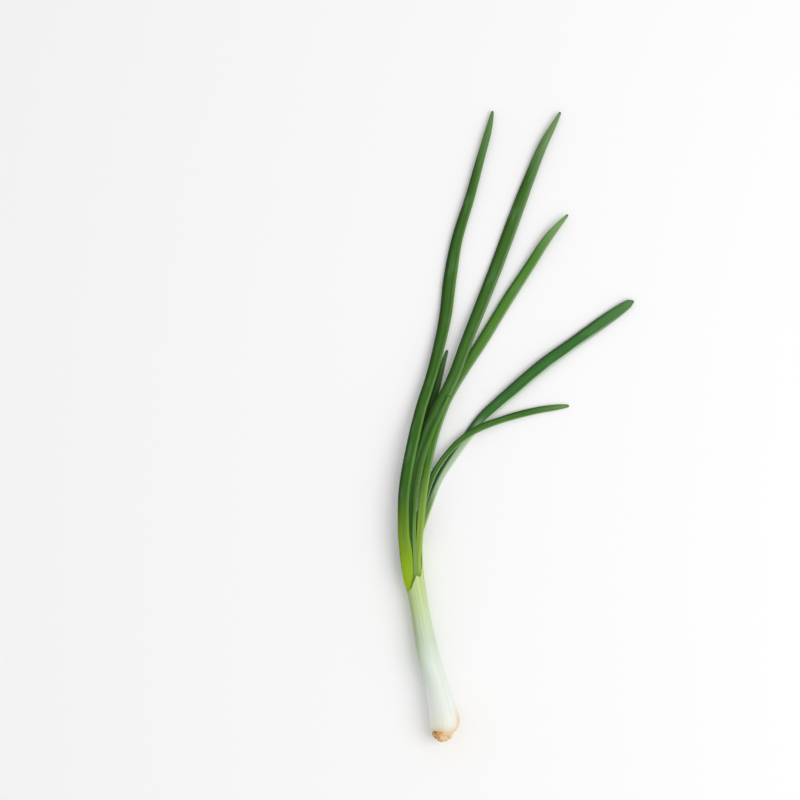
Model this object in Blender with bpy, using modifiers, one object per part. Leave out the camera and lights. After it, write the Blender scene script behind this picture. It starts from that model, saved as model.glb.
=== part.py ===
"""A spring onion lying on a surface: bulb and sheath, root plate, and seven leaves.

The stalk runs along +Y from the root plate to the slanting mouth of its outer sheath. The
leaves start inside that mouth, as a packed bundle, and fan out over the surface at Z = 0.
All the sizes are in metres.
"""

import math

import bmesh
import bpy
from mathutils import Matrix, Vector

MM = 0.001

# Clearance between pieces that touch.
GAP = 0.3 * MM

# Root plate: the hard disc that the trimmed roots grew from.
ROOT_PLATE_DIAMETER = 11.4 * MM
ROOT_PLATE_LENGTH = 5.6 * MM
ROOT_FACE_DIAMETER = 11.0 * MM

# How far the plate stands to the side of the stalk's centre line.
ROOT_PLATE_SHIFT = -0.9 * MM

# Stalk: the bulb, the shank above it and the neck where the leaves come out.
STALK_LENGTH = 109.0 * MM
BULB_DIAMETER = 16.9 * MM
WAIST_DIAMETER = 13.6 * MM
SHANK_DIAMETER = 10.7 * MM
NECK_DIAMETER = 12.8 * MM
STALK_SIDES = 28

# Mouth of the outer sheath: cut aslant, low at the front left, high at the back right.
SHEATH_WALL = 0.7 * MM
MOUTH_SLANT = 37.0 * MM
MOUTH_TURN = math.radians(45.0)

# Seats: the leaves' lower ends stand in the sheath, this far below the neck.
SEAT_DEPTH = 24.0 * MM
SEAT_HEIGHT = 5.0 * MM

# Leaves: how far the longest one reaches past the neck, the widest width of the widest one, and
# the thickness of every section as a share of its width.
LEAF_REACH = 256.0 * MM
LEAF_WIDTH = 7.5 * MM
LEAF_FLATNESS = 0.44
LEAF_SIDES = 12

# The leaves' routes are drawn in this unit, with 256 of them to the longest reach.
ROUTE_UNIT = LEAF_REACH / 256.0

# One leaf lying on another stands this much higher.
LAYER = LEAF_WIDTH * LEAF_FLATNESS + GAP

# The stalk's centre line: share of its length, sideways place in mm, and the diameter there.
STALK_STATIONS = [
    (0.000, 1.9, ROOT_FACE_DIAMETER),
    (0.022, 2.1, 0.89 * BULB_DIAMETER),
    (0.068, 2.3, BULB_DIAMETER),
    (0.150, 0.3, 0.88 * BULB_DIAMETER),
    (0.251, -2.8, WAIST_DIAMETER),
    (0.371, -6.6, 0.97 * WAIST_DIAMETER),
    (0.477, -8.9, 0.5 * (WAIST_DIAMETER + SHANK_DIAMETER)),
    (0.582, -11.1, 1.02 * SHANK_DIAMETER),
    (0.686, -13.1, SHANK_DIAMETER),
    (0.791, -15.3, 0.92 * NECK_DIAMETER),
    (0.898, -16.8, NECK_DIAMETER),
    (1.000, -17.3, 1.03 * NECK_DIAMETER),
    (1.068, -17.5, 1.03 * NECK_DIAMETER),
]
BELLY = 0.068
NECK = 0.898

# Each leaf: its seat, its neck and for the outer leaf the sheath's lip, as (sideways, height,
# width) in shares of the sheath's inner radius, and how its section is turned there. Then its
# free route as (sideways, along, layer, width): the first two in ROUTE_UNIT from the neck's
# centre, the layer as how many leaves lie under it, and the width as a share of LEAF_WIDTH.
# A leaf that lies beside another is carried this many leaf widths to the right of its route.
LEAVES = {
    "front_leaf": {
        "seat": (-0.38, 0.50, 0.52),
        "neck": (-0.54, 0.68, 1.06),
        "route": [
            (-4.7, 17.0, 2.75, 0.85),
            (-4.3, 39.5, 2.45, 0.84),
            (-0.3, 62.5, 2.10, 0.87),
            (5.1, 85.5, 1.35, 0.83),
            (12.2, 108.0, 1.00, 0.83),
            (18.9, 136.5, 0.30, 0.93),
            (21.8, 159.5, 0.00, 1.00),
            (25.9, 182.5, 0.15, 0.85),
            (32.8, 205.0, 0.35, 0.75),
            (39.0, 227.5, 0.45, 0.64),
            (43.9, 245.0, 0.50, 0.51),
            (46.3, 256.0, 0.55, 0.07),
        ],
        "colour": (0.070, 0.170, 0.030),
    },
    "tall_leaf": {
        "seat": (-0.05, 0.15, 0.60),
        "neck": (-0.12, 0.18, 0.76),
        "route": [
            (-0.3, 17.0, 1.75, 0.67),
            (-0.2, 39.5, 1.40, 0.72),
            (4.7, 61.0, 1.15, 0.77),
            (13.5, 83.5, 1.05, 0.83),
            (23.1, 102.5, 1.05, 0.88),
            (31.5, 124.5, 0.95, 0.91),
            (40.9, 148.0, 0.35, 0.96),
            (49.7, 170.5, 0.00, 0.99),
            (58.2, 193.5, 0.00, 0.97),
            (65.9, 214.0, 0.10, 0.85),
            (74.6, 235.5, 0.40, 0.69),
            (81.2, 248.0, 0.60, 0.45),
            (84.9, 255.3, 0.75, 0.07),
        ],
        "colour": (0.060, 0.160, 0.050),
    },
    "right_leaf": {
        "seat": (0.56, 0.36, 0.52),
        "neck": (0.54, 0.36, 0.58),
        "beside": 0.8,
        "route": [
            (-1.2, 17.0, 2.05, 0.53),
            (0.5, 37.5, 1.90, 0.61),
            (3.6, 55.5, 1.20, 0.64),
            (7.5, 72.5, 0.40, 0.68),
            (14.2, 91.0, 0.00, 0.72),
            (23.8, 108.0, 0.00, 0.77),
            (35.1, 125.5, 0.00, 0.83),
            (48.7, 148.0, 0.10, 0.84),
            (63.0, 170.0, 0.40, 0.75),
            (69.0, 179.5, 0.60, 0.71),
            (75.0, 187.5, 0.80, 0.57),
            (83.2, 196.7, 1.05, 0.07),
        ],
        "colour": (0.110, 0.250, 0.050),
    },
    "inner_leaf": {
        "seat": (0.10, 0.72, 0.34),
        "neck": (0.32, 0.74, 0.33),
        "route": [
            (1.4, 17.0, 2.95, 0.25),
            (2.9, 39.5, 2.75, 0.25),
            (6.8, 57.5, 2.60, 0.27),
            (12.0, 72.5, 2.30, 0.25),
            (17.5, 84.5, 2.15, 0.20),
            (21.6, 93.5, 2.15, 0.07),
        ],
        "colour": (0.140, 0.300, 0.070),
    },
    "short_leaf": {
        "seat": (-0.56, -0.16, 0.56),
        "neck": (-0.54, -0.22, 0.68),
        "route": [
            (-3.0, 17.0, 0.80, 0.53),
            (-1.4, 39.5, 0.45, 0.56),
            (1.4, 56.5, 0.10, 0.59),
            (7.1, 75.5, 0.00, 0.59),
            (12.9, 93.0, 0.00, 0.53),
            (17.1, 108.5, 0.00, 0.43),
            (20.5, 119.5, 0.10, 0.07),
        ],
        "colour": (0.080, 0.190, 0.060),
    },
    "outer_leaf": {
        "seat": (0.36, -0.66, 0.58),
        "neck": (0.40, -0.58, 0.78),
        "lip": (0.48, -0.60, 0.74),
        "turn": -30.0,
        "route": [
            (4.8, 17.0, 0.15, 0.61),
            (9.0, 28.5, 0.00, 0.60),
            (15.7, 45.5, 0.00, 0.57),
            (23.1, 57.5, 0.00, 0.60),
            (32.3, 70.5, 0.00, 0.69),
            (40.0, 79.8, 0.05, 0.77),
            (47.3, 86.6, 0.20, 0.83),
            (56.4, 94.6, 0.35, 0.89),
            (74.7, 110.0, 0.40, 0.96),
            (92.9, 123.2, 0.15, 0.91),
            (111.1, 136.5, 0.00, 0.84),
            (120.3, 142.9, 0.15, 0.69),
            (124.8, 146.2, 0.25, 0.49),
            (127.1, 147.3, 0.30, 0.07),
        ],
        "colour": (0.090, 0.200, 0.090),
    },
    "side_leaf": {
        "seat": (0.26, -0.28, 0.58),
        "neck": (0.12, -0.17, 0.60),
        "route": [
            (1.9, 17.0, 1.20, 0.48),
            (7.1, 33.5, 1.05, 0.48),
            (12.6, 49.0, 1.05, 0.45),
            (20.9, 61.0, 1.00, 0.44),
            (29.2, 69.1, 0.90, 0.48),
            (39.1, 75.0, 0.80, 0.52),
            (53.5, 80.3, 0.40, 0.52),
            (70.2, 84.7, 0.10, 0.52),
            (83.2, 86.8, 0.05, 0.44),
            (90.0, 87.6, 0.10, 0.08),
        ],
        "colour": (0.090, 0.230, 0.060),
    },
}


def clear_scene():
    for obj in list(bpy.data.objects):
        bpy.data.objects.remove(obj)


def new_collection(name):
    collection = bpy.data.collections.new(name)
    bpy.context.scene.collection.children.link(collection)
    return collection


def material(name, colour, roughness):
    made = bpy.data.materials.new(name)
    made.use_nodes = True
    shader = made.node_tree.nodes["Principled BSDF"]
    shader.inputs["Base Color"].default_value = (*colour, 1.0)
    shader.inputs["Roughness"].default_value = roughness
    shader.inputs["Metallic"].default_value = 0.0
    return made


def smooth_route(stations, steps):
    """Return stations on a smooth curve through the given ones, whatever they hold."""
    padded = [stations[0], *stations, stations[-1]]
    route = []
    for before, start, end, after in zip(padded, padded[1:], padded[2:], padded[3:]):
        for step in range(steps):
            t = step / steps
            route.append(tuple(
                0.5 * (2 * b + (c - a) * t
                       + (2 * a - 5 * b + 4 * c - d) * t ** 2
                       + (3 * b - a - 3 * c + d) * t ** 3)
                for a, b, c, d in zip(before, start, end, after)
            ))
    route.append(tuple(stations[-1]))
    return route


def stalk_height(share, diameter):
    """Height of the stalk's centre line: its belly and its neck both touch the surface."""
    rise = (share - BELLY) / (NECK - BELLY)
    straight = 0.5 * BULB_DIAMETER + rise * 0.5 * (NECK_DIAMETER - BULB_DIAMETER)
    return max(straight, 0.5 * diameter)


def stalk_stations():
    """Return (x, y, z, radius) along the stalk, from the root face past the mouth."""
    stations = []
    for share, x, diameter in STALK_STATIONS:
        y = ROOT_PLATE_LENGTH + share * STALK_LENGTH
        stations.append((x * MM, y, stalk_height(share, diameter), 0.5 * diameter))
    return stations


def stalk_at(y, route):
    """Return (x, z, radius) of the stalk's centre line at a place along it."""
    for low, high in zip(route, route[1:]):
        if low[1] <= y <= high[1]:
            t = (y - low[1]) / (high[1] - low[1])
            return tuple(low[i] + t * (high[i] - low[i]) for i in (0, 2, 3))
    raise ValueError("the place is not on the stalk")


def curve_object(name, stations, collection):
    """Return a curve through (x, y, z, radius, tilt) stations, with filled ends."""
    curve = bpy.data.curves.new(name, "CURVE")
    curve.dimensions = "3D"
    curve.twist_mode = "Z_UP"
    curve.use_fill_caps = True
    spline = curve.splines.new("POLY")
    spline.points.add(len(stations) - 1)
    for point, (x, y, z, radius, tilt) in zip(spline.points, stations):
        point.co = (x, y, z, 1.0)
        point.radius = radius
        point.tilt = tilt
    obj = bpy.data.objects.new(name, curve)
    collection.objects.link(obj)
    return obj


def mesh_from_curve(obj, collection):
    """Replace a curve object by a closed mesh object of the same shape."""
    depsgraph = bpy.context.evaluated_depsgraph_get()
    mesh = bpy.data.meshes.new_from_object(obj.evaluated_get(depsgraph))
    working = bmesh.new()
    working.from_mesh(mesh)
    bmesh.ops.remove_doubles(working, verts=working.verts, dist=0.00001)
    working.to_mesh(mesh)
    working.free()
    name = obj.name
    made = bpy.data.objects.new(name, mesh)
    made.matrix_world = obj.matrix_world
    bpy.data.objects.remove(obj)
    made.name = name
    collection.objects.link(made)
    return made


def round_tube(name, stations, collection):
    """Return a closed mesh tube with round sections through (x, y, z, radius) stations."""
    obj = curve_object(name, [(*station, 0.0) for station in stations], collection)
    obj.data.bevel_depth = 1.0
    obj.data.bevel_resolution = (STALK_SIDES - 4) // 2
    return mesh_from_curve(obj, collection)


def as_cutter(obj):
    obj.hide_render = True
    obj.display_type = "WIRE"
    return obj


def subtract(target, cutter):
    boolean = target.modifiers.new(cutter.name, "BOOLEAN")
    boolean.operation = "DIFFERENCE"
    boolean.solver = "EXACT"
    boolean.object = cutter


def mouth_centre_y():
    """Return where the slanting mouth crosses the stalk's centre line."""
    return ROOT_PLATE_LENGTH + STALK_LENGTH - 0.5 * MOUTH_SLANT


def mouth_top_y():
    return mouth_centre_y() + 0.5 * MOUTH_SLANT


def neck_y():
    return ROOT_PLATE_LENGTH + NECK * STALK_LENGTH


def seat_floor_y():
    """Return the floor that the leaves' lower ends stand on, below the mouth's low side."""
    return neck_y() - SEAT_DEPTH


def make_stalk(route, parts, cutters):
    stalk = round_tube("stalk", route, parts)
    hollow_route = [
        (x, y, z, radius - SHEATH_WALL)
        for x, y, z, radius in route
        if y > seat_floor_y()
    ]
    x, z, radius = stalk_at(seat_floor_y(), route)
    hollow_route.insert(0, (x, seat_floor_y(), z, radius - SHEATH_WALL))
    x, y, z, radius = hollow_route[-1]
    hollow_route.append((x, y + SHEATH_WALL, z, radius))
    hollow = as_cutter(round_tube("sheath_hollow", hollow_route, cutters))
    subtract(stalk, hollow)

    x, z, radius = stalk_at(mouth_centre_y(), route)
    slope = math.atan2(MOUTH_SLANT, NECK_DIAMETER)
    bpy.ops.mesh.primitive_cube_add(size=1.0)
    slice_box = bpy.context.object
    slice_box.name = "mouth_slice"
    for collection in list(slice_box.users_collection):
        collection.objects.unlink(slice_box)
    cutters.objects.link(slice_box)
    size = 4.0 * MOUTH_SLANT
    turned = Matrix.Rotation(MOUTH_TURN, 4, "Y") @ Matrix.Rotation(slope, 4, "Z")
    place = Matrix.Translation((x, mouth_centre_y(), z)) @ turned
    slice_box.matrix_world = (
        place @ Matrix.Translation((0.0, 0.5 * size, 0.0)) @ Matrix.Scale(size, 4)
    )
    subtract(stalk, as_cutter(slice_box))
    stalk.data.shade_smooth()
    stalk.data.set_sharp_from_angle(angle=math.radians(40.0))
    stalk.data.materials.append(material("pale_stalk", (0.72, 0.78, 0.60), 0.35))


def make_root_plate(route, parts):
    """A turned knob in line with the stalk, its flat top just clear of the stalk's foot."""
    foot = Vector(route[0][:3])
    along = (foot - Vector(route[1][:3])).normalized()
    rim = 0.5 * ROOT_FACE_DIAMETER
    widest = 0.5 * ROOT_PLATE_DIAMETER
    length = ROOT_PLATE_LENGTH - GAP
    outline = [
        (0.0, 0.0),
        (rim, 0.0),
        (widest, -0.28 * length),
        (0.97 * widest, -0.55 * length),
        (0.78 * widest, -0.84 * length),
        (0.42 * widest, -0.97 * length),
        (0.0, -length),
    ]
    mesh = bpy.data.meshes.new("root_plate")
    edges = [(i, i + 1) for i in range(len(outline) - 1)]
    mesh.from_pydata([(x, 0.0, z) for x, z in outline], edges, [])
    plate = bpy.data.objects.new("root_plate", mesh)
    parts.objects.link(plate)
    turn = Vector((0.0, 0.0, -1.0)).rotation_difference(along)
    sideways = Vector((0.0, 0.0, 1.0)).cross(along).normalized()
    face = foot + GAP * along + ROOT_PLATE_SHIFT * sideways
    plate.matrix_world = Matrix.Translation(face) @ turn.to_matrix().to_4x4()
    screw = plate.modifiers.new("turned", "SCREW")
    screw.axis = "Z"
    screw.steps = STALK_SIDES
    screw.render_steps = STALK_SIDES
    screw.use_merge_vertices = True
    screw.merge_threshold = 0.00001
    plate.data.materials.append(material("root_tan", (0.55, 0.34, 0.14), 0.75))


def make_leaf_section(cutters):
    """The flattened oval that every leaf's section is scaled from, one unit wide."""
    curve = bpy.data.curves.new("leaf_section", "CURVE")
    curve.dimensions = "2D"
    spline = curve.splines.new("POLY")
    spline.points.add(LEAF_SIDES - 1)
    for i, point in enumerate(spline.points):
        angle = -math.tau * i / LEAF_SIDES
        point.co = (0.5 * math.cos(angle), 0.5 * LEAF_FLATNESS * math.sin(angle), 0.0, 1.0)
    spline.use_cyclic_u = True
    section = bpy.data.objects.new("leaf_section", curve)
    cutters.objects.link(section)
    return as_cutter(section)


def leaf_stations(leaf, route):
    """Return (x, y, z, width, tilt) from the leaf's seat in the sheath to its tip."""
    stations = []
    floor = seat_floor_y() + 1.5 * GAP
    seat_top = floor + SEAT_HEIGHT
    lean = (stalk_at(seat_top, route)[0] - stalk_at(floor, route)[0]) / (seat_top - floor)
    turn = math.radians(leaf.get("turn", 0.0))
    for key, y in (("seat", floor), ("seat", seat_top), ("neck", neck_y()), ("lip", mouth_top_y())):
        if key not in leaf:
            continue
        side, height, width = leaf[key]
        x, z, radius = stalk_at(y, route)
        inner = radius - SHEATH_WALL
        square_y = y - lean * side * inner
        stations.append((x + side * inner, square_y, z + height * inner, width * inner, turn))
    neck_x = stalk_at(neck_y(), route)[0]
    beside = leaf.get("beside", 0.0) * LEAF_WIDTH
    for side, along, layer, share in leaf["route"]:
        width = share * LEAF_WIDTH
        stations.append((
            neck_x + beside + side * ROUTE_UNIT,
            neck_y() + along * ROUTE_UNIT,
            layer * LAYER + 0.5 * width * LEAF_FLATNESS,
            width,
            0.0,
        ))
    return stations


def make_leaf(name, leaf, route, section, parts):
    stations = [
        (x, y, max(z, 0.5 * width * LEAF_FLATNESS), width, turn)
        for x, y, z, width, turn in smooth_route(leaf_stations(leaf, route), 3)
    ]
    obj = curve_object(name, stations, parts)
    obj.data.bevel_mode = "OBJECT"
    obj.data.bevel_object = section
    obj.data.materials.append(material(name + "_green", leaf["colour"], 0.45))


def stand_on_origin(parts, cutters):
    """Carry everything by an empty, so that the plant's box stands centred on the origin."""
    bpy.context.view_layer.update()
    depsgraph = bpy.context.evaluated_depsgraph_get()
    corners = []
    for obj in parts.objects:
        evaluated = obj.evaluated_get(depsgraph)
        mesh = evaluated.to_mesh()
        corners.extend(obj.matrix_world @ vertex.co for vertex in mesh.vertices)
        evaluated.to_mesh_clear()
    low = [min(corner[i] for corner in corners) for i in range(3)]
    high = [max(corner[i] for corner in corners) for i in range(3)]
    carrier = bpy.data.objects.new("plant", None)
    bpy.context.scene.collection.objects.link(carrier)
    for obj in [*parts.objects, *cutters.objects]:
        obj.parent = carrier
    carrier.location = (-0.5 * (low[0] + high[0]), -0.5 * (low[1] + high[1]), -low[2])


def main():
    clear_scene()
    parts = new_collection("spring_onion")
    cutters = new_collection("cutters")
    route = smooth_route(stalk_stations(), 3)
    make_stalk(route, parts, cutters)
    make_root_plate(route, parts)
    section = make_leaf_section(cutters)
    for name, leaf in LEAVES.items():
        make_leaf(name, leaf, route, section, parts)
    stand_on_origin(parts, cutters)


main()
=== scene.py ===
"""A spring onion lying on a pale surface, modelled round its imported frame."""

import math

import bmesh
import bpy
from bpy.props import FloatProperty, FloatVectorProperty, IntProperty, PointerProperty
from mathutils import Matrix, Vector


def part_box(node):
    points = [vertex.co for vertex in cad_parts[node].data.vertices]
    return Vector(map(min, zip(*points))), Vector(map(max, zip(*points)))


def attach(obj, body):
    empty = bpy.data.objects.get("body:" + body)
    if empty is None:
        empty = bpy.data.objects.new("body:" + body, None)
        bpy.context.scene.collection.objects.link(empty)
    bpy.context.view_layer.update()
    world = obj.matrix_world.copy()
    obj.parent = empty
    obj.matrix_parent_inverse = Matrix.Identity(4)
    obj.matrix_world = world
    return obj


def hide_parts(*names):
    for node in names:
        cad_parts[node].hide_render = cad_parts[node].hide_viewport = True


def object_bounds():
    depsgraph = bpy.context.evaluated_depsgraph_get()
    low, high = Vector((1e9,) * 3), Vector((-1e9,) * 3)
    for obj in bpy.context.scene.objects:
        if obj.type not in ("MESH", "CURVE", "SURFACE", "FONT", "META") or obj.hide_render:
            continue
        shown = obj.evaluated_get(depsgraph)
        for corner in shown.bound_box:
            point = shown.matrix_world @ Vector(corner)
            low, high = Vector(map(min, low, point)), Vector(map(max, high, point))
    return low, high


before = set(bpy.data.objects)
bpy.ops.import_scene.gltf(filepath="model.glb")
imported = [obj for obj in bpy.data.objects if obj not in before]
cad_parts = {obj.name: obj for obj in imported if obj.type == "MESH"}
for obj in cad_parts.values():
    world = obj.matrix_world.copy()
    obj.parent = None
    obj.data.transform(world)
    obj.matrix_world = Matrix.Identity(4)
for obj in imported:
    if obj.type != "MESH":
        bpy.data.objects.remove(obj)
CAD_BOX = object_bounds()

bl_info = {
    "name": "Spring Onion",
    "version": (1, 0, 0),
    "blender": (4, 5, 0),
    "location": "3D View > Sidebar > Spring Onion",
    "description": "Models a spring onion: stalk, root plate and seven leaves",
    "category": "Add Mesh",
}

MM = 0.001

# Every route is measured from the base under the middle of the neck, where the leaves come out of
# the sheath. That point lies so many mm from the box's lowest corner.
NECK = CAD_BOX[0] + Vector((8.04, 103.45, 0.0)) * MM

# Pieces stay this far above the frame's base, and the surface lies as far below it, in mm.
REST = 0.02

# The name of the attribute that says how far across, up and along its piece each point lies.
LIE = "lie"

# The stalk: (sideways, along, height of its middle, diameter), in mm from the neck.
STALK_ROUTE = [
    (18.7, -97.9, 8.60, 11.6),
    (18.8, -96.8, 8.58, 14.0),
    (18.7, -95.0, 8.55, 16.2),
    (18.9, -90.5, 8.60, 17.3),
    (16.9, -81.5, 8.25, 15.3),
    (14.0, -70.5, 7.98, 13.6),
    (10.2, -57.5, 7.70, 13.2),
    (7.9, -45.9, 7.44, 12.1),
    (5.7, -34.5, 7.18, 10.9),
    (3.7, -23.1, 6.92, 10.7),
    (1.5, -11.7, 6.66, 11.8),
    (0.0, 0.0, 6.40, 12.8),
    (-0.5, 11.1, 6.59, 13.2),
    (-0.7, 18.5, 6.59, 13.2),
]

# How far apart the points are that are worked out along a way, in mm.
STALK_PITCH = 1.0
LEAF_PITCH = 3.6

# The angles of the points round the stalk, in degrees: 0 on the right, 90 on top.
STALK_SIDES = 40
STALK_TURNS = [-180.0 + 360.0 * k / STALK_SIDES for k in range(STALK_SIDES)]

# The sections that close the stalk's foot: (along, how far inside the skin), in mm.
FOOT_ROWS = [(-97.89, 0.9), (-97.88, 0.1)]

# The stalk's upright sections run between these places, in so many steps. Past them the sections
# lean over bit by bit until they lie along the lip.
UPRIGHT_START, UPRIGHT_END, UPRIGHT_STEPS = -97.85, -28.0, 25
LEANING_STEPS = 12

# How far along the sheath's lip stands at each angle round it.
LIP = [
    (-180, -17.0),
    (-135, -6.0),
    (-90, 5.0),
    (-45, 10.0),
    (-8, 9.8),
    (12, 5.0),
    (30, -5.0),
    (46, -9.2),
    (58, -9.8),
    (72, -8.4),
    (92, -12.0),
    (118, -16.4),
    (150, -18.6),
    (180, -17.0),
]

# The lip's rounded edge: (mm past the lip, share of the wall inside the skin).
LIP_ROWS = [(0.15, 0.35), (-0.10, 0.9)]

# The mouth's inner wall starts this far behind the lip and ends at this place, in mm.
MOUTH_START, MOUTH_END, MOUTH_STEPS = 0.3, -24.5, 5

# How large the swellings of each piece's surface are, in mm.
STALK_LUMP_SIZE = 14.0
LEAF_LUMP_SIZE = 9.0
ROOT_LUMP_SIZE = 2.2

# Each leaf's way, in mm from the neck. The bundle rows, inside the sheath and just out of it, are
# (sideways, along, height of the middle, width). The route rows are (sideways, along, layer,
# width), where a layer is how many leaves lie under it. The last width only sets the height of
# the tip, which is then made blunt.
# The groove on top has a depth, as a share of the leaf's height, and a place across, from -1 on
# the left to 1 on the right. The arch is how far the leaf's sides hang over the bundle, and the
# roll is how many degrees it turns to and fro on its way.
LEAVES = {
    "front_leaf": {
        "bundle": [(0.6, -22.5, 9.0, 3.6), (0.2, -18.0, 9.35, 4.7), (-1.2, -13.0, 9.7, 6.0),
                   (-2.75, 0.0, 10.3, 7.5), (-3.7, 8.0, 10.6, 7.0)],
        "route": [(-4.7, 17, 2.75, 6.4), (-4.3, 39.5, 2.45, 6.3), (-0.3, 62.5, 2.10, 6.5),
                  (5.1, 85.5, 1.35, 6.2), (12.2, 108, 1.0, 6.2), (18.9, 136.5, 0.3, 7.0),
                  (21.8, 159.5, 0.0, 7.5), (25.9, 182.5, 0.15, 6.4), (32.8, 205, 0.35, 5.6),
                  (39, 227.5, 0.45, 4.8), (43.9, 245, 0.5, 3.8), (46.3, 256, 0.55, 0.5)],
        "slot": "leaf_green", "groove": (0.30, 0.25), "arch": 0.22, "roll": 4.0,
    },
    "tall_leaf": {
        "bundle": [(1.9, -22.5, 7.7, 3.1), (1.6, -18.0, 7.7, 3.2), (-0.7, 0.0, 7.4, 4.3)],
        "route": [(-0.3, 17, 1.75, 5.0), (-0.2, 39.5, 1.40, 5.4), (4.7, 61, 1.15, 5.8),
                  (13.5, 83.5, 1.05, 6.2), (23.1, 102.5, 1.05, 6.6), (31.5, 124.5, 0.95, 6.8),
                  (40.9, 148, 0.35, 7.2), (49.7, 170.5, 0.0, 7.4), (58.2, 193.5, 0.0, 7.3),
                  (65.9, 214, 0.10, 6.4), (74.6, 235.5, 0.40, 5.2), (81.2, 248, 0.60, 3.4),
                  (84.9, 255.3, 0.75, 0.5)],
        "slot": "leaf_green", "groove": (0.28, 0.35), "arch": 0.0, "roll": -6.0,
    },
    "right_leaf": {
        "bundle": [(5.1, -22.5, 8.8, 2.7), (4.9, -18.0, 8.9, 2.8), (4.0, -9.0, 9.3, 3.4),
                   (3.4, 0.0, 9.1, 3.8), (4.05, 8.0, 8.5, 4.1)],
        "route": [(4.8, 17, 2.05, 4.0), (6.5, 37.5, 1.90, 4.6), (9.6, 55.5, 1.20, 4.8),
                  (13.5, 72.5, 0.40, 5.1), (20.2, 91, 0.0, 5.4), (29.8, 108, 0.0, 5.8),
                  (41.1, 125.5, 0.0, 6.2), (54.7, 148, 0.10, 6.3), (69, 170, 0.40, 5.6),
                  (75, 179.5, 0.60, 5.3), (81, 187.5, 0.80, 4.3), (89.2, 196.7, 1.05, 0.5)],
        "slot": "leaf_light_green", "groove": (0.24, -0.30), "arch": 0.0, "roll": 5.0,
    },
    "inner_leaf": {
        "bundle": [(2.7, -22.5, 10.6, 1.7), (2.4, -18.0, 10.6, 1.8), (1.8, 0.0, 10.6, 1.9)],
        "route": [(1.4, 17, 2.95, 1.9), (2.9, 39.5, 2.75, 1.9), (6.8, 57.5, 2.60, 2.0),
                  (12, 72.5, 2.30, 1.9), (17.5, 84.5, 2.15, 1.5), (21.6, 93.5, 2.15, 0.5)],
        "slot": "leaf_light_green", "groove": (0.20, 0.0), "arch": 0.0, "roll": 0.0,
    },
    "short_leaf": {
        "bundle": [(-0.6, -22.5, 6.1, 2.8), (-0.9, -18.0, 6.1, 2.9), (-3.1, 0.0, 5.15, 3.9)],
        "route": [(-3, 17, 0.80, 4.0), (-1.4, 39.5, 0.45, 4.2), (1.4, 56.5, 0.10, 4.4),
                  (7.1, 75.5, 0.0, 4.4), (12.9, 93, 0.0, 4.0), (17.1, 108.5, 0.0, 3.2),
                  (20.5, 119.5, 0.10, 0.5)],
        "slot": "leaf_green", "groove": (0.2, 0.0), "arch": 0.0, "roll": 0.0,
    },
    "outer_leaf": {
        "bundle": [(4.1, -22.5, 3.6, 3.0), (3.8, -18.0, 3.6, 3.1), (2.3, 0.0, 3.1, 4.4),
                   (2.35, 11.1, 3.0, 4.4)],
        "route": [(4.8, 17, 0.15, 4.6), (9, 28.5, 0.0, 4.5), (15.7, 45.5, 0.0, 4.3),
                  (23.1, 57.5, 0.0, 4.7), (32.3, 70.5, 0.0, 5.5), (39.8, 80.0, 0.05, 6.3),
                  (47.1, 86.8, 0.20, 6.8), (56.2, 94.8, 0.35, 7.3), (74.5, 110.3, 0.40, 7.8),
                  (92.7, 123.5, 0.15, 7.4), (110.9, 136.8, 0.0, 7.0), (120.1, 143.2, 0.15, 5.9),
                  (124.6, 146.4, 0.25, 4.5), (127.1, 147.4, 0.30, 0.5)],
        "slot": "leaf_grey_green", "groove": (0.34, -0.15), "arch": 0.0, "roll": -8.0,
    },
    "side_leaf": {
        "bundle": [(3.5, -22.5, 5.6, 3.0), (3.2, -18.0, 5.5, 3.1), (0.7, 0.0, 5.4, 3.4)],
        "route": [(1.9, 17, 1.20, 3.6), (7.1, 33.5, 1.05, 3.6), (12.6, 49, 1.05, 3.4),
                  (20.9, 61, 1.0, 3.3), (29.2, 69.1, 0.9, 3.6), (39.1, 75, 0.8, 3.9),
                  (53.5, 80.3, 0.4, 3.9), (70.2, 84.7, 0.1, 3.9), (83.2, 86.8, 0.05, 3.3),
                  (90, 87.6, 0.1, 0.6)],
        "slot": "leaf_light_green", "groove": (0.22, 0.0), "arch": 0.0, "roll": 4.0,
    },
}

LEAF_SIDES = 20

# Rounding a leaf off draws it in, so its rings are drawn this much wider.
LEAF_ALLOWANCE = 1.0166

# A leaf's tip is blunt: it has this width at this distance before its end, and then this one.
TIP_WIDTH, TIP_LENGTH, TIP_END_WIDTH = 1.6, 0.6, 0.7

# The groove's width as a share of half the leaf's, and how much of its depth is gone at the tip.
GROOVE_WIDTH, GROOVE_FADE = 0.34, 0.55

# The arch is full up to this place and gone this much further along, in mm. Its level keeps the
# leaf's middle where it was.
ARCH_START, ARCH_LENGTH, ARCH_LEVEL = -10.0, 60.0, 0.33

# The angle that the roll's wave runs through over a leaf's length, in radians.
ROLL_WAVE = 7.0

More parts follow.
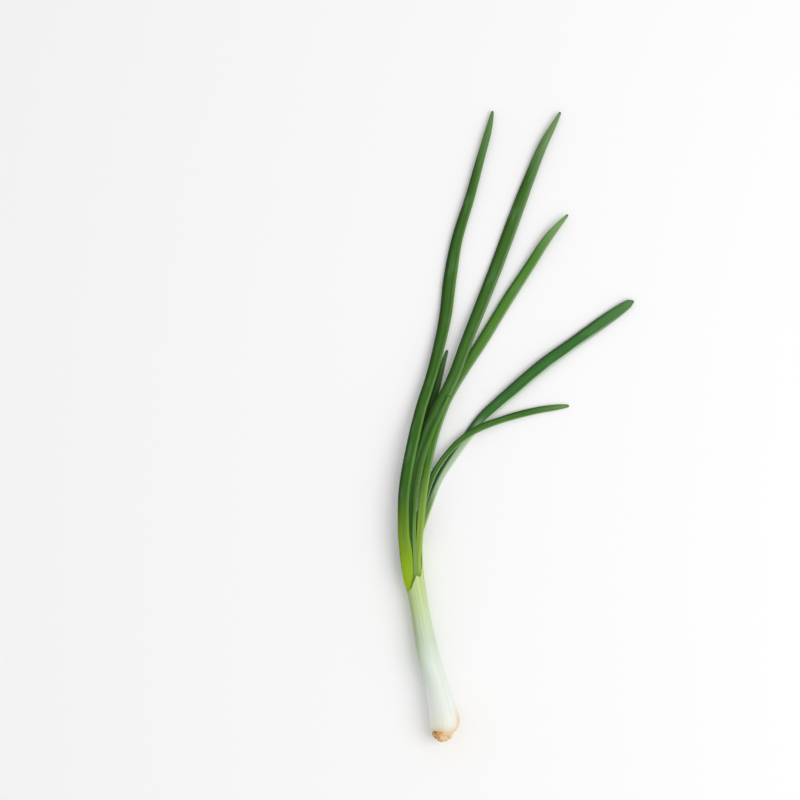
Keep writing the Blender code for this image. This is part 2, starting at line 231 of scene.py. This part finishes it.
# Each leaf's colours, as screen values: its face, the painted shade on its left side, its right
# edge, a waxy margin with a painted highlight on it, the stretch that comes out of the sheath, and
# its tip. The stretch's colour fades between two places along the leaf, in mm.
LEAF_COLOURS = {
    "front_leaf": {
        "face": (46, 95, 6), "shade": (28, 62, 2), "rim": (92, 138, 50),
        "base": (146, 180, 0), "tip": (104, 142, 86), "base_fades": (-18.0, 44.0),
    },
    "tall_leaf": {
        "face": (54, 102, 20), "shade": (36, 72, 14), "rim": (106, 142, 88),
        "base": (96, 146, 76), "tip": (130, 162, 112), "base_fades": (-6.0, 34.0),
    },
    "right_leaf": {
        "face": (74, 126, 34), "shade": (56, 98, 32), "rim": (130, 162, 108),
        "base": (150, 182, 74), "tip": (126, 164, 106), "base_fades": (4.0, 62.0),
    },
    "inner_leaf": {
        "face": (72, 122, 26), "shade": (60, 106, 30), "rim": (98, 142, 56),
        "base": (124, 160, 80), "tip": (100, 144, 70), "base_fades": (0.0, 40.0),
    },
    "short_leaf": {
        "face": (38, 80, 14), "shade": (26, 56, 8), "rim": (62, 106, 38),
        "base": (110, 150, 50), "tip": (84, 124, 62), "base_fades": (0.0, 40.0),
    },
    "outer_leaf": {
        "face": (54, 110, 42), "shade": (48, 82, 46), "rim": (194, 211, 194),
        "base": (150, 182, 84), "tip": (84, 132, 74), "base_fades": (14.0, 42.0),
    },
    "side_leaf": {
        "face": (58, 108, 24), "shade": (44, 80, 26), "rim": (124, 158, 102),
        "base": (100, 144, 60), "tip": (104, 146, 84), "base_fades": (4.0, 46.0),
    },
}

# Every leaf's very end is dry. It turns this colour between these distances before its end, in mm.
DRY_COLOUR, DRY_START, DRY_FULL = (80, 90, 44), 1.6, 0.3

# The outer leaf is pale where it first bends. The pale stretch comes in and goes out between these
# places, and the waxy right edge and its painted highlight fade between the last two, in mm.
OUTER_PALE = (176, 198, 164)
OUTER_PALE_IN, OUTER_PALE_OUT, OUTER_RIM_FADE = (26.0, 46.0), (78.0, 94.0), (150.0, 185.0)

# The stalk's colours run from this place over this length, in mm.
COLOUR_START, COLOUR_LENGTH = -98.0, 112.0

# How far beside the neck the middle of the root plate lies, in mm.
ROOT_SIDE = 18.0

# Patterns drawn out along a piece: (how close across, up and along), detail.
LEAF_BANDS = (3.4, 2.2, 0.012), 2.0
LEAF_VEINS = (13.0, 9.0, 0.03), 3.0
LEAF_FINE = (40.0, 22.0, 0.06), 1.0
LEAF_PATCHES = (1.1, 1.1, 0.055), 3.0
STALK_LINES = (13.0, 13.0, 0.02), 3.0
STALK_FINE = (34.0, 34.0, 0.03), 1.0
STALK_PATCHES = (1.3, 1.3, 0.06), 3.0

# Patterns of the root plate, the same all ways: how close in a m, detail.
ROOT_CORK = 330.0, 4.0
ROOT_SCARS = 560.0, 4.0

# How deep each skin's fine relief is, in mm.
LEAF_RELIEF, STALK_RELIEF, ROOT_RELIEF = 0.22, 0.12, 0.35

# The Mix node's sockets when it works on colours.
MIX_FIRST, MIX_SECOND, MIX_RESULT = 6, 7, 2

# The root plate is a dome under the bulb. It is a ball that is this many times its node's size,
# cut flat at the bulb. Its middle lies this share of the node's length inside the cut. Its surface
# swells this much, and it may reach this far past the node, in mm.
DOME_SEGMENTS, DOME_RINGS = 40, 20
DOME_GROWTH = (1.04, 1.7, 1.04)
DOME_SINK = 0.15
DOME_LUMPS = 0.9
DOME_OVERREACH = 0.4

# The trimmed roots, as shares of the node's size: how far out from the middle and how far down
# they stand, how much less far down the outer ones do, and how deep their feet are in the dome.
# The angle from one root to the next, in radians, spreads them evenly.
ROOT_OUT, ROOT_DOWN, ROOT_SLOPE, ROOT_FOOT = 0.44, 0.84, 0.8, 0.93
ROOT_SIDES, ROOT_TURN = 8, 2.39996

# Their radius and length, each with how much it varies, and the radius of their cut ends, in mm.
ROOT_RADIUS, ROOT_RADIUS_CHANGE, ROOT_END_RADIUS = 0.52, 0.12, 0.34
ROOT_LENGTH, ROOT_LENGTH_CHANGE = 1.3, 0.6

# The studio, in m and W. The key light is aimed at the middle of the frame.
SURFACE_SIZE = 6.0
ROOM_LIGHT = 0.74
KEY_LIGHT, KEY_SIZE, KEY_PLACE = 10.5, 1.2, (0.9, -0.1, 1.3)
CAMERA_LENS, CAMERA_PLACE = 150.0, (-66.2 * MM, 14.6 * MM)


def paint(red, green, blue):
    """Return a screen colour from 0 to 255 as the linear colour that materials use."""
    def line(value):
        share = value / 255.0
        return share / 12.92 if share <= 0.04045 else ((share + 0.055) / 1.055) ** 2.4
    return (line(red), line(green), line(blue))


class Num:
    """A shader number that Python's own arithmetic works on."""

    def __init__(self, finish, socket):
        self.finish = finish
        self.socket = socket

    def work(self, operation, first, second):
        """Return what a Math node makes of two numbers."""
        return self.finish.value("ShaderNodeMath", {"operation": operation}, {0: first, 1: second})

    def __add__(self, other):
        return self.work("ADD", self, other)

    __radd__ = __add__

    def __sub__(self, other):
        return self.work("SUBTRACT", self, other)

    def __rsub__(self, other):
        return self.work("SUBTRACT", other, self)

    def __mul__(self, other):
        return self.work("MULTIPLY", self, other)

    __rmul__ = __mul__

    def __truediv__(self, other):
        return self.work("DIVIDE", self, other)

    def __rtruediv__(self, other):
        return self.work("DIVIDE", other, self)


class Finish:
    """One material, built from expressions on its sockets."""

    def __init__(self, name):
        self.material = bpy.data.materials.new(name)
        self.material.use_nodes = True
        self.tree = self.material.node_tree
        self.shader = self.tree.nodes["Principled BSDF"]

    def feed(self, target, value):
        """Link a value to a socket, or write it there if it is plain."""
        if isinstance(value, Num):
            value = value.socket
        if isinstance(value, bpy.types.NodeSocket):
            self.tree.links.new(value, target)
        elif target.type == "RGBA":
            target.default_value = (*value, 1.0)
        else:
            target.default_value = value

    def node(self, kind, settings, inputs):
        """Add a node of any kind, with its settings made before its sockets are fed."""
        made = self.tree.nodes.new(kind)
        for key, value in settings.items():
            if key == "stops":
                ramp = made.color_ramp
                while len(ramp.elements) < len(value):
                    ramp.elements.new(0.5)
                for element, (place, colour) in zip(ramp.elements, value):
                    element.position = place
                    element.color = (*colour, 1.0)
            else:
                setattr(made, key, value)
        for key, value in inputs.items():
            self.feed(made.inputs[key], value)
        return made

    def value(self, kind, settings, inputs):
        """Return the first output of a new node as a number."""
        return Num(self, self.node(kind, settings, inputs).outputs[0])

    def smooth(self, value, low, high):
        """Return 0 below low, 1 above high, and a smooth rise between them."""
        return self.value(
            "ShaderNodeMapRange",
            {"interpolation_type": "SMOOTHSTEP"},
            {"Value": value, "From Min": low, "From Max": high},
        )

    def blend(self, share, first, second, how="MIX"):
        """Return the first colour with a share of the second mixed in."""
        return self.node(
            "ShaderNodeMix",
            {"data_type": "RGBA", "blend_type": how},
            {"Factor": share, MIX_FIRST: first, MIX_SECOND: second},
        ).outputs[MIX_RESULT]

    def ramp(self, value, stops):
        """Return the colour that a row of stops gives for a value."""
        return self.node("ShaderNodeValToRGB", {"stops": stops}, {"Fac": value}).outputs["Color"]

    def noise(self, vector, scale, detail):
        """Return soft noise around a half."""
        return self.value(
            "ShaderNodeTexNoise", {}, {"Vector": vector, "Scale": scale, "Detail": detail}
        )

    def streaks(self, lie, closeness, detail):
        """Return noise drawn out along the piece."""
        x, y, z = (part * close for part, close in zip(lie, closeness))
        drawn = self.node("ShaderNodeCombineXYZ", {}, {0: x, 1: y, 2: z}).outputs[0]
        return self.noise(drawn, 1.0, detail)

    def split(self, vector):
        """Return the three numbers of a vector."""
        apart = self.node("ShaderNodeSeparateXYZ", {}, {0: vector})
        return [Num(self, output) for output in apart.outputs]

    def lie(self):
        """Return how far across, up and along its piece a point lies."""
        held = self.node("ShaderNodeAttribute", {"attribute_name": LIE}, {})
        return self.split(held.outputs["Vector"])

    def set(self, **inputs):
        """Feed the shader's sockets, named with underscores for spaces."""
        for key, value in inputs.items():
            self.feed(self.shader.inputs[key.replace("_", " ")], value)

    def bump(self, height, distance, strength):
        """Raise the shader's fine relief."""
        made = self.node(
            "ShaderNodeBump", {}, {"Height": height, "Distance": distance, "Strength": strength}
        )
        self.set(Normal=made.outputs["Normal"])


class SpringOnionSizes(bpy.types.PropertyGroup):
    """Sizes that change the look of the model without moving a piece out of its place."""

    leaf_flatness: FloatProperty(
        name="Leaf flatness", description="A leaf's thickness as a share of its width",
        default=0.44, min=0.3, max=0.6, subtype="FACTOR",
    )
    leaf_layer: FloatProperty(
        name="Leaf layer", description="How much higher a leaf lies for each one under it",
        default=3.6 * MM, unit="LENGTH",
    )
    leaf_lumps: FloatProperty(
        name="Leaf lumps", description="How far a leaf's surface swells and dips",
        default=0.20 * MM, unit="LENGTH",
    )
    sheath_wall: FloatProperty(
        name="Sheath wall", description="Thickness of the outer sheath at its lip",
        default=0.55 * MM, unit="LENGTH",
    )
    bulb_lumps: FloatProperty(
        name="Bulb lumps", description="How far the stalk's surface swells and dips",
        default=0.25 * MM, unit="LENGTH",
    )
    root_stubs: IntProperty(
        name="Root stubs", description="Trimmed roots on the root plate",
        default=34, min=0, subtype="UNSIGNED",
    )
    camera_height: FloatProperty(
        name="Camera height", description="Height of the camera above the surface",
        default=1.905, unit="LENGTH",
    )


class SpringOnionColours(bpy.types.PropertyGroup):
    """Colours of the pieces that aren't set leaf by leaf."""

    bloom: FloatVectorProperty(
        name="Bloom", description="The waxy bloom on the leaves", subtype="COLOR",
        default=paint(150, 184, 158), min=0.0, max=1.0,
    )
    bulb: FloatVectorProperty(
        name="Bulb", description="The white of the bulb", subtype="COLOR",
        default=paint(234, 236, 234), min=0.0, max=1.0,
    )
    shank: FloatVectorProperty(
        name="Shank", description="The pale green of the shank", subtype="COLOR",
        default=paint(200, 216, 172), min=0.0, max=1.0,
    )
    root: FloatVectorProperty(
        name="Root plate", description="The tan of the root plate", subtype="COLOR",
        default=paint(232, 198, 150), min=0.0, max=1.0,
    )
    surface: FloatVectorProperty(
        name="Surface", description="The pale surface under the plant", subtype="COLOR",
        default=(0.93, 0.93, 0.93), min=0.0, max=1.0,
    )


def smooth_way(stations, pitch):
    """Return points on a smooth curve through the stations, about a pitch apart along it."""
    padded = [stations[0], *stations, stations[-1]]
    way = []
    for before, start, end, after in zip(padded, padded[1:], padded[2:], padded[3:]):
        steps = max(1, round(math.dist(start[:2], end[:2]) / pitch))
        for step in range(steps):
            t = step / steps
            way.append(tuple(
                0.5 * (2 * b + (c - a) * t
                       + (2 * a - 5 * b + 4 * c - d) * t ** 2
                       + (3 * b - a - 3 * c + d) * t ** 3)
                for a, b, c, d in zip(before, start, end, after)
            ))
    way.append(tuple(float(x) for x in stations[-1]))
    return way


def between(table, value):
    """Return the number that a two-column table gives for a value."""
    for (low, first), (high, second) in zip(table, table[1:]):
        if low <= value <= high:
            t = (value - low) / (high - low)
            t = t * t * (3.0 - 2.0 * t)
            return first + t * (second - first)
    return table[0][1] if value < table[0][0] else table[-1][1]


def loft(name, rings, marks):
    """Extrude a ring from section to section, close both ends, and keep each point's marks."""
    bpy.ops.object.select_all(action="DESELECT")
    bpy.ops.mesh.primitive_circle_add(vertices=len(rings[0]), radius=MM)
    obj = bpy.context.object
    obj.name = obj.data.name = name
    bpy.ops.object.mode_set(mode="EDIT")
    bpy.ops.mesh.select_mode(type="VERT")
    place_of = {i: i for i in range(len(rings[0]))}
    mark_of = {}
    for level, ring in enumerate(rings):
        if level:
            bpy.ops.mesh.extrude_region_move(TRANSFORM_OT_translate={"value": (0.0, 0.0, 0.0)})
        shell = bmesh.from_edit_mesh(obj.data)
        shell.verts.ensure_lookup_table()
        shell.verts.index_update()
        if level:
            # A new point takes its place in the ring from the point that it was extruded from.
            place_of = {
                vertex.index: place_of[edge.other_vert(vertex).index]
                for vertex in shell.verts if vertex.select
                for edge in vertex.link_edges if edge.other_vert(vertex).index in place_of
            }
        for index, place in place_of.items():
            shell.verts[index].co = ring[place]
            mark_of[index] = marks[level][place]
        bmesh.update_edit_mesh(obj.data)
    bpy.ops.mesh.edge_face_add()
    bpy.ops.mesh.select_all(action="DESELECT")
    bpy.ops.mesh.select_non_manifold()
    bpy.ops.mesh.edge_face_add()
    bpy.ops.mesh.select_all(action="SELECT")
    bpy.ops.mesh.normals_make_consistent(inside=False)
    bpy.ops.object.mode_set(mode="OBJECT")
    if len(mark_of) != len(obj.data.vertices):
        raise RuntimeError(name + " lost points while it was extruded")
    held = obj.data.attributes.new(LIE, "FLOAT_VECTOR", "POINT")
    for index, mark in mark_of.items():
        held.data[index].vector = mark
    return obj


def finish_skin(obj, lumps, lump_size):
    """Round the piece off, let its surface swell a little, and rest it on the surface."""
    rounded = obj.modifiers.new("rounded", "SUBSURF")
    rounded.levels = rounded.render_levels = 1
    clouds = bpy.data.textures.new(obj.name + "_lumps", "CLOUDS")
    clouds.noise_scale = lump_size
    swell = obj.modifiers.new("lumps", "DISPLACE")
    swell.texture = clouds
    swell.texture_coords = "LOCAL"
    swell.strength = lumps
    bpy.ops.object.select_all(action="DESELECT")
    obj.select_set(True)
    bpy.context.view_layer.objects.active = obj
    for modifier in list(obj.modifiers):
        bpy.ops.object.modifier_apply(modifier=modifier.name)
    for vertex in obj.data.vertices:
        vertex.co.z = max(vertex.co.z, REST * MM)
    bpy.ops.object.shade_smooth()


def settle(obj, node, material):
    """Give a finished piece its material, and let it stand for its node in the frame."""
    obj.data.materials.clear()
    obj.data.materials.append(material)
    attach(obj, "root")
    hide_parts(node)


def leaf_finish(name, colours, length):
    """Green that pales to its sheath end, with fine lengthwise veins, bloom, painted shade down
    its left side, and a waxy right edge with a painted highlight on it.
    """
    look = dict(LEAF_COLOURS[name])
    fade_start, fade_end = look.pop("base_fades")
    look = {part: paint(*colour) for part, colour in look.items()}
    finish = Finish(name + "_skin")
    lie = across, _, along = finish.lie()
    bands = finish.streaks(lie, *LEAF_BANDS)
    veins = finish.streaks(lie, *LEAF_VEINS)
    fine = finish.streaks(lie, *LEAF_FINE)
    patches = finish.streaks(lie, *LEAF_PATCHES)

    side = across * 0.5 + 0.5 + (patches - 0.5) * 0.12
    # Painted shade: each leaf's left side is darker, away from the light.
    body = finish.blend(finish.smooth(side, 0.04, 0.40), look["shade"], look["face"])
    if name == "outer_leaf":
        stretch = finish.smooth(along, *OUTER_PALE_IN) * (
            1.0 - finish.smooth(along, *OUTER_PALE_OUT))
        pale = finish.smooth(side, 0.22, 0.52) * stretch
        body = finish.blend(pale, body, paint(*OUTER_PALE))
        rim = finish.smooth(side, 0.78, 0.89) * (
            1.0 - finish.smooth(along, *OUTER_RIM_FADE) * 0.7)
    else:
        rim = finish.smooth(side, 0.70, 0.95) * 0.9
    # The right edge is paler: a waxy margin, and a painted highlight on the side the light comes
    # from.
    body = finish.blend(rim, body, look["rim"])
    body = finish.blend(finish.smooth(patches, 0.50, 0.74) * 0.12, body, colours.bloom)
    base = 1.0 - finish.smooth(along + patches * 16.0 - 8.0, fade_start, fade_end)
    body = finish.blend(base, body, look["base"])
    tip = finish.smooth(along / length + (patches - 0.5) * 0.10, 0.82, 1.02)
    body = finish.blend(tip * 0.85, body, look["tip"])
    dry = finish.smooth(along, length - DRY_START, length - DRY_FULL)
    body = finish.blend(dry * 0.8, body, paint(*DRY_COLOUR))
    body = finish.blend(
        0.85,
        body,
        finish.ramp(bands * 0.45 + veins * 0.35 + fine * 0.20,
                    [(0.34, (0.54, 0.60, 0.50)), (0.66, (1.30, 1.26, 1.20))]),
        "MULTIPLY",
    )
    finish.set(Base_Color=body, Roughness=patches * 0.22 + 0.36, Specular_IOR_Level=0.22)
    finish.bump(bands * 0.5 + veins * 0.35 + fine * 0.15, LEAF_RELIEF * MM, 0.7)
    return finish.material


def stalk_finish(colours):
    """White at the bulb, pale green up the shank, with fine lengthwise lines and painted shade
    down its left side.
    """
    finish = Finish("stalk_skin_finish")
    lie = across, up, along = finish.lie()
    lines = finish.streaks(lie, *STALK_LINES)
    fine = finish.streaks(lie, *STALK_FINE)
    patches = finish.streaks(lie, *STALK_PATCHES)
    place = (along - COLOUR_START) / COLOUR_LENGTH + (patches - 0.5) * 0.10
    body = finish.ramp(place, [
        (0.00, paint(230, 214, 182)),
        (0.035, paint(236, 236, 226)),
        (0.12, colours.bulb),
        (0.32, paint(224, 232, 224)),
        (0.48, paint(204, 218, 200)),
        (0.60, colours.shank),
        (0.78, paint(190, 208, 138)),
        (1.00, paint(182, 200, 120)),
    ])
    # Painted shade: the shank is darker and greener down its left side, away from the light.
    left = (1.0 - finish.smooth(across, -0.95, -0.25)) * finish.smooth(place, 0.12, 0.55)
    body = finish.blend(left * 0.55, body, paint(128, 144, 62))
    tan = finish.smooth(across - up * 0.2, 0.35, 0.95) * (1.0 - finish.smooth(place, 0.05, 0.15))
    body = finish.blend(tan * 0.75, body, paint(228, 192, 148))
    body = finish.blend(
        finish.smooth(place, 0.15, 0.70) * 0.6 + 0.4,
        body,
        finish.ramp(lines * 0.6 + fine * 0.4,
                    [(0.34, (0.74, 0.80, 0.62)), (0.64, (1.06, 1.06, 1.06))]),
        "MULTIPLY",
    )
    finish.set(Base_Color=body, Roughness=patches * 0.16 + 0.34, Specular_IOR_Level=0.4)
    finish.set(Coat_Weight=0.08, Coat_Roughness=0.25, Subsurface_Weight=0.08)
    finish.set(Subsurface_Scale=1.0 * MM, Subsurface_Radius=(0.8, 1.0, 0.7))
    finish.bump(lines * 0.6 + fine * 0.4, STALK_RELIEF * MM, 0.5)
    return finish.material


def root_finish(colours):
    """Tan, corky and spotted with brown where the roots were trimmed."""
    finish = Finish("root_tissue_finish")
    place = finish.node("ShaderNodeTexCoord", {}, {}).outputs["Object"]
    sideways = finish.split(place)[0] - (NECK.x + ROOT_SIDE * MM)
    broad = finish.noise(place, *ROOT_CORK)
    spots = finish.noise(place, *ROOT_SCARS)
    body = finish.blend(finish.smooth(broad, 0.42, 0.62), colours.root, paint(238, 212, 172))
    left = 1.0 - finish.smooth(sideways + (broad - 0.5) * 0.006, -4.0 * MM, 1.5 * MM)
    body = finish.blend(left * 0.75, body, paint(204, 148, 76))
    scars = finish.smooth(spots, 0.51, 0.62) * (left * 0.65 + 0.30)
    body = finish.blend(scars, body, paint(142, 84, 38))
    finish.set(Base_Color=body, Roughness=spots * 0.2 + 0.55, Specular_IOR_Level=0.3)
    finish.bump(spots * 0.5 + broad * 0.5, ROOT_RELIEF * MM, 0.7)
    return finish.material


def leaf_way(leaf, sizes):
    """Return the middle line of a leaf from its seat to its blunt tip: (x, y, z, width)."""
    layer = sizes.leaf_layer / MM
    rows = list(leaf["bundle"])
    for x, y, under, width in leaf["route"]:
        rows.append((x, y, under * layer + 0.5 * width * sizes.leaf_flatness, width))
    rows[-1] = (*rows[-1][:3], TIP_WIDTH)
    way = smooth_way(rows, LEAF_PITCH)
    last, end = way[-2], way[-1]
    back = TIP_LENGTH / math.dist(last[:2], end[:2])
    way[-1] = (*(b - (b - a) * back for a, b in zip(last[:3], end[:3])), TIP_WIDTH)
    way.append((*end[:3], TIP_END_WIDTH))
    return way


def leaf_outline(leaf, flatness, share, along):
    """Return a leaf's outline, one wide: each point's place across and up, and its two marks."""
    depth, groove = leaf["groove"]
    depth *= 1.0 - GROOVE_FADE * share
    arch = leaf["arch"] * max(0.0, 1.0 - max(0.0, along - ARCH_START) / ARCH_LENGTH)
    roll = math.radians(leaf["roll"]) * math.sin(ROLL_WAVE * share)
    outline = []
    for k in range(LEAF_SIDES):
        turn = math.tau * k / LEAF_SIDES
        across, up = math.cos(turn), math.sin(turn)
        lift = up * flatness
        if up > 0.0:
            lift *= 1.0 - depth * math.exp(-((across - groove) / GROOVE_WIDTH) ** 2)
        lift -= arch * (across * across - ARCH_LEVEL)
        outline.append((
            across * math.cos(roll) - lift * math.sin(roll),
            across * math.sin(roll) + lift * math.cos(roll),
            across,
            up,
        ))
    return outline


def leaf_rings(leaf, sizes):
    """Return a leaf's sections from its seat to its tip, each point's marks, and its length."""
    way = leaf_way(leaf, sizes)
    reach = [way[0][1]]
    for low, high in zip(way, way[1:]):
        reach.append(reach[-1] + math.dist(low[:2], high[:2]))
    length = reach[-1]
    spread = LEAF_ALLOWANCE * 0.5
    rings, marks = [], []
    for i, (x, y, z, width) in enumerate(way):
        ahead, behind = way[min(i + 1, len(way) - 1)], way[max(i - 1, 0)]
        heading = Vector((ahead[0] - behind[0], ahead[1] - behind[1], 0.0)).normalized()
        side = Vector((heading.y, -heading.x, 0.0))
        z = max(z, 0.5 * width * sizes.leaf_flatness + REST)
        outline = leaf_outline(leaf, sizes.leaf_flatness, max(0.0, reach[i] / length), y)
        rings.append([
            NECK + (Vector((x, y, z + lift * width * spread)) + side * (out * width * spread)) * MM
            for out, lift, _, _ in outline
        ])
        marks.append([(across, up, reach[i]) for _, _, across, up in outline])
    return rings, marks, length


class SPRINGONION_OT_leaves(bpy.types.Operator):
    """Model the seven leaves"""

    bl_idname = "spring_onion.leaves"
    bl_label = "Leaves"

    def execute(self, context):
        sizes = context.scene.spring_onion_sizes
        colours = context.scene.spring_onion_colours
        for name, leaf in LEAVES.items():
            rings, marks, length = leaf_rings(leaf, sizes)
            obj = loft("visual_" + name, rings, marks)
            finish_skin(obj, sizes.leaf_lumps, LEAF_LUMP_SIZE * MM)
            settle(obj, name, leaf_finish(name, colours, length))
        return {"FINISHED"}


def stalk_at(along, way):
    """Return the stalk's place sideways, the height of its middle and its diameter there."""
    for low, high in zip(way, way[1:]):
        if low[1] <= along <= high[1]:
            t = (along - low[1]) / (high[1] - low[1])
            return [low[i] + t * (high[i] - low[i]) for i in (0, 2, 3)]
    raise ValueError("the place is not on the stalk")


def stalk_rows(wall):
    """Return the stalk's sections: where along it each point lies, and how far inside the skin."""
    lips = [between(LIP, degrees) for degrees in STALK_TURNS]
    rows = [([along] * STALK_SIDES, inset) for along, inset in FOOT_ROWS]
    for step in range(UPRIGHT_STEPS + 1):
        along = UPRIGHT_START + (UPRIGHT_END - UPRIGHT_START) * step / UPRIGHT_STEPS
        rows.append(([along] * STALK_SIDES, 0.0))
    for step in range(1, LEANING_STEPS + 1):
        share = step / LEANING_STEPS
        rows.append(([UPRIGHT_END + (lip - UPRIGHT_END) * share for lip in lips], 0.0))
    for past, share in LIP_ROWS:
        rows.append(([lip + past for lip in lips], share * wall))
    for step in range(1, MOUTH_STEPS + 1):
        share = step / MOUTH_STEPS
        rows.append(([lip - MOUTH_START + (MOUTH_END - lip) * share for lip in lips], wall))
    return rows


def stalk_ring(way, alongs, inset):
    """Return the points of one of the stalk's sections, and their marks."""
    ring, marks = [], []
    for degrees, along in zip(STALK_TURNS, alongs):
        x, z, diameter = stalk_at(along, way)
        radius = 0.5 * diameter - inset
        across, up = math.cos(math.radians(degrees)), math.sin(math.radians(degrees))
        ring.append(NECK + Vector((x + radius * across, along, z + radius * up)) * MM)
        marks.append((across, up, along))
    return ring, marks


class SPRINGONION_OT_stalk(bpy.types.Operator):
    """Model the bulb, the shank and the sheath with its slanting lip"""

    bl_idname = "spring_onion.stalk"
    bl_label = "Stalk"

    def execute(self, context):
        sizes = context.scene.spring_onion_sizes
        way = smooth_way(STALK_ROUTE, STALK_PITCH)
        made = [stalk_ring(way, *row) for row in stalk_rows(sizes.sheath_wall / MM)]
        obj = loft("visual_stalk", [ring for ring, _ in made], [marks for _, marks in made])
        finish_skin(obj, sizes.bulb_lumps, STALK_LUMP_SIZE * MM)
        settle(obj, "stalk", stalk_finish(context.scene.spring_onion_colours))
        return {"FINISHED"}


def root_stub(i, count, centre, size):
    """Add one trimmed root to the dome of the root plate."""
    reach = math.sqrt((i + 0.5) / count)
    aim = Vector((
        ROOT_OUT * size.x * reach * math.cos(i * ROOT_TURN),
        -ROOT_DOWN * size.y * math.sqrt(max(0.0, 1.0 - ROOT_SLOPE * reach * reach)),
        ROOT_OUT * size.z * reach * math.sin(i * ROOT_TURN),
    ))
    bpy.ops.object.select_all(action="DESELECT")
    bpy.ops.mesh.primitive_cone_add(
        vertices=ROOT_SIDES,
        radius1=(ROOT_RADIUS + ROOT_RADIUS_CHANGE * math.sin(i * 2.3)) * MM,
        radius2=ROOT_END_RADIUS * MM,
        depth=(ROOT_LENGTH + ROOT_LENGTH_CHANGE * math.sin(i * 1.7)) * MM,
        location=centre + aim * ROOT_FOOT,
        rotation=aim.to_track_quat("Z", "Y").to_euler(),
    )
    return bpy.context.object


class SPRINGONION_OT_root_plate(bpy.types.Operator):
    """Model the lumpy root plate and its trimmed roots"""

    bl_idname = "spring_onion.root_plate"
    bl_label = "Root plate"

    def execute(self, context):
        count = context.scene.spring_onion_sizes.root_stubs
        low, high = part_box("root_plate")
        middle = 0.5 * (low + high)
        size = high - low
        centre = Vector((middle.x, high.y - DOME_SINK * size.y, middle.z))
        bpy.ops.object.select_all(action="DESELECT")
        bpy.ops.mesh.primitive_uv_sphere_add(
            segments=DOME_SEGMENTS, ring_count=DOME_RINGS, radius=0.5)
        obj = bpy.context.object
        obj.name = "visual_root_plate"
        bpy.ops.object.mode_set(mode="EDIT")
        bpy.ops.mesh.select_all(action="SELECT")
        bpy.ops.transform.resize(value=[grow * side for grow, side in zip(DOME_GROWTH, size)])
        bpy.ops.transform.translate(value=centre)
        bpy.ops.object.mode_set(mode="OBJECT")
        for vertex in obj.data.vertices:
            vertex.co.y = min(vertex.co.y, high.y)
        stubs = [root_stub(i, count, centre, size) for i in range(count)]
        bpy.ops.object.select_all(action="DESELECT")
        for piece in (*stubs, obj):
            piece.select_set(True)
        bpy.context.view_layer.objects.active = obj
        bpy.ops.object.join()
        bpy.ops.object.transform_apply(location=True, rotation=True, scale=True)
        finish_skin(obj, DOME_LUMPS * MM, ROOT_LUMP_SIZE * MM)
        for vertex in obj.data.vertices:
            vertex.co.y = max(vertex.co.y, low.y - DOME_OVERREACH * MM)
        settle(obj, "root_plate", root_finish(context.scene.spring_onion_colours))
        return {"FINISHED"}


class SPRINGONION_OT_stage(bpy.types.Operator):
    """Lay the pale surface, light it softly and set the camera above it"""

    bl_idname = "spring_onion.stage"
    bl_label = "Stage"

    def execute(self, context):
        scene = context.scene
        bpy.ops.object.select_all(action="DESELECT")
        bpy.ops.mesh.primitive_plane_add(size=SURFACE_SIZE, location=(0.0, 0.0, -REST * MM))
        floor = context.object
        floor.name = "floor"
        finish = Finish("pale_surface")
        finish.set(Base_Color=scene.spring_onion_colours.surface, Roughness=0.9)
        floor.data.materials.append(finish.material)

        world = bpy.data.worlds.new("studio")
        scene.world = world
        world.use_nodes = True
        background = world.node_tree.nodes["Background"]
        background.inputs["Color"].default_value = (1.0, 1.0, 1.0, 1.0)
        background.inputs["Strength"].default_value = ROOM_LIGHT

        key = bpy.data.lights.new("key", "AREA")
        key.energy = KEY_LIGHT
        key.size = KEY_SIZE
        key_object = bpy.data.objects.new("key", key)
        scene.collection.objects.link(key_object)
        key_object.location = KEY_PLACE
        key_object.rotation_euler = (-Vector(KEY_PLACE)).to_track_quat("-Z", "Y").to_euler()

        camera = bpy.data.cameras.new("camera")
        camera.lens = CAMERA_LENS
        camera_object = bpy.data.objects.new("camera", camera)
        scene.collection.objects.link(camera_object)
        camera_object.location = (*CAMERA_PLACE, scene.spring_onion_sizes.camera_height)
        scene.camera = camera_object
        scene.view_settings.view_transform = "Standard"
        return {"FINISHED"}


class SPRINGONION_PT_panel(bpy.types.Panel):
    """The pieces of the spring onion, in the order they are made"""

    bl_label = "Spring Onion"
    bl_idname = "SPRINGONION_PT_panel"
    bl_space_type = "VIEW_3D"
    bl_region_type = "UI"
    bl_category = "Spring Onion"

    def draw(self, context):
        for operator in OPERATORS:
            self.layout.operator(operator.bl_idname)
        for group in (context.scene.spring_onion_sizes, context.scene.spring_onion_colours):
            for name in group.__annotations__:
                self.layout.prop(group, name)


OPERATORS = (
    SPRINGONION_OT_stage,
    SPRINGONION_OT_stalk,
    SPRINGONION_OT_root_plate,
    SPRINGONION_OT_leaves,
)
CLASSES = (SpringOnionSizes, SpringOnionColours, *OPERATORS, SPRINGONION_PT_panel)


def register():
    """Add the classes, and the sizes and colours that a scene holds."""
    for made in CLASSES:
        bpy.utils.register_class(made)
    bpy.types.Scene.spring_onion_sizes = PointerProperty(type=SpringOnionSizes)
    bpy.types.Scene.spring_onion_colours = PointerProperty(type=SpringOnionColours)


def unregister():
    """Take back what register added."""
    del bpy.types.Scene.spring_onion_colours
    del bpy.types.Scene.spring_onion_sizes
    for made in reversed(CLASSES):
        bpy.utils.unregister_class(made)


def main():
    """Make the whole scene."""
    register()
    bpy.ops.spring_onion.stage()
    bpy.ops.spring_onion.stalk()
    bpy.ops.spring_onion.root_plate()
    bpy.ops.spring_onion.leaves()


if __name__ == "__main__":
    main()
